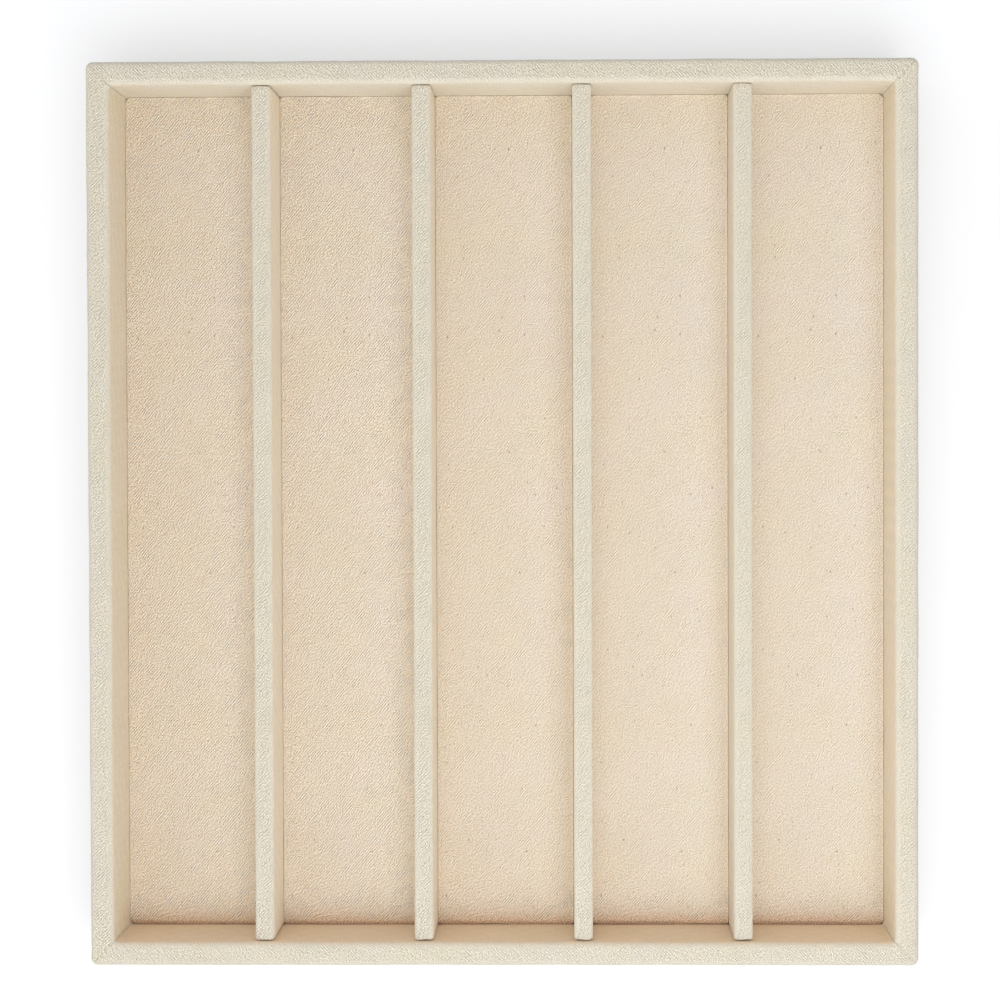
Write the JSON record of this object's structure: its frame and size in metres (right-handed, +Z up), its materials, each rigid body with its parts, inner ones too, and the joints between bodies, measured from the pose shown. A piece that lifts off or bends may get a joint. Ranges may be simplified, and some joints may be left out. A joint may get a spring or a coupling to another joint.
{
  "type": "jewelry tray",
  "caption": "Shallow cloth-wrapped jewelry tray: mitred rim, low fixed dividers and long cells with padded floors, for laying out chains, bracelets and watches.",
  "frame": {"origin": "centre of the underside, on the surface that the tray rests on", "axes": "+X across the cells to the right, +Y along the cells to the back, +Z up out of the open top"},
  "size_m": [0.2794, 0.3048, 0.034],
  "materials": {
    "frame_cloth": "ecru twill, matt",
    "pad_cloth": "warm beige twill, matt",
    "felt": "short felt, matt",
    "wadding": "soft white wadding",
    "fibreboard": "raw fibreboard",
    "hardboard": "raw hardboard",
    "card": "grey board",
    "steel": "bright wire"
  },
  "bodies": {
    "root": {"back_rail": "fibreboard", "back_wrap": "frame_cloth", "base_board": "hardboard", "base_brads": "steel", "base_filler": "card", "base_liner": "felt", "divider_1_board": "fibreboard", "divider_1_wrap": "frame_cloth", "divider_2_board": "fibreboard", "divider_2_wrap": "frame_cloth", "divider_3_board": "fibreboard", "divider_3_wrap": "frame_cloth", "divider_4_board": "fibreboard", "divider_4_wrap": "frame_cloth", "front_rail": "fibreboard", "front_wrap": "frame_cloth", "left_rail": "fibreboard", "left_wrap": "frame_cloth", "pad_1_board": "card", "pad_1_cover": "pad_cloth", "pad_1_foam": "wadding", "pad_2_board": "card", "pad_2_cover": "pad_cloth", "pad_2_foam": "wadding", "pad_3_board": "card", "pad_3_cover": "pad_cloth", "pad_3_foam": "wadding", "pad_4_board": "card", "pad_4_cover": "pad_cloth", "pad_4_foam": "wadding", "pad_5_board": "card", "pad_5_cover": "pad_cloth", "pad_5_foam": "wadding", "right_rail": "fibreboard", "right_wrap": "frame_cloth"}
  },
  "joints": []
}
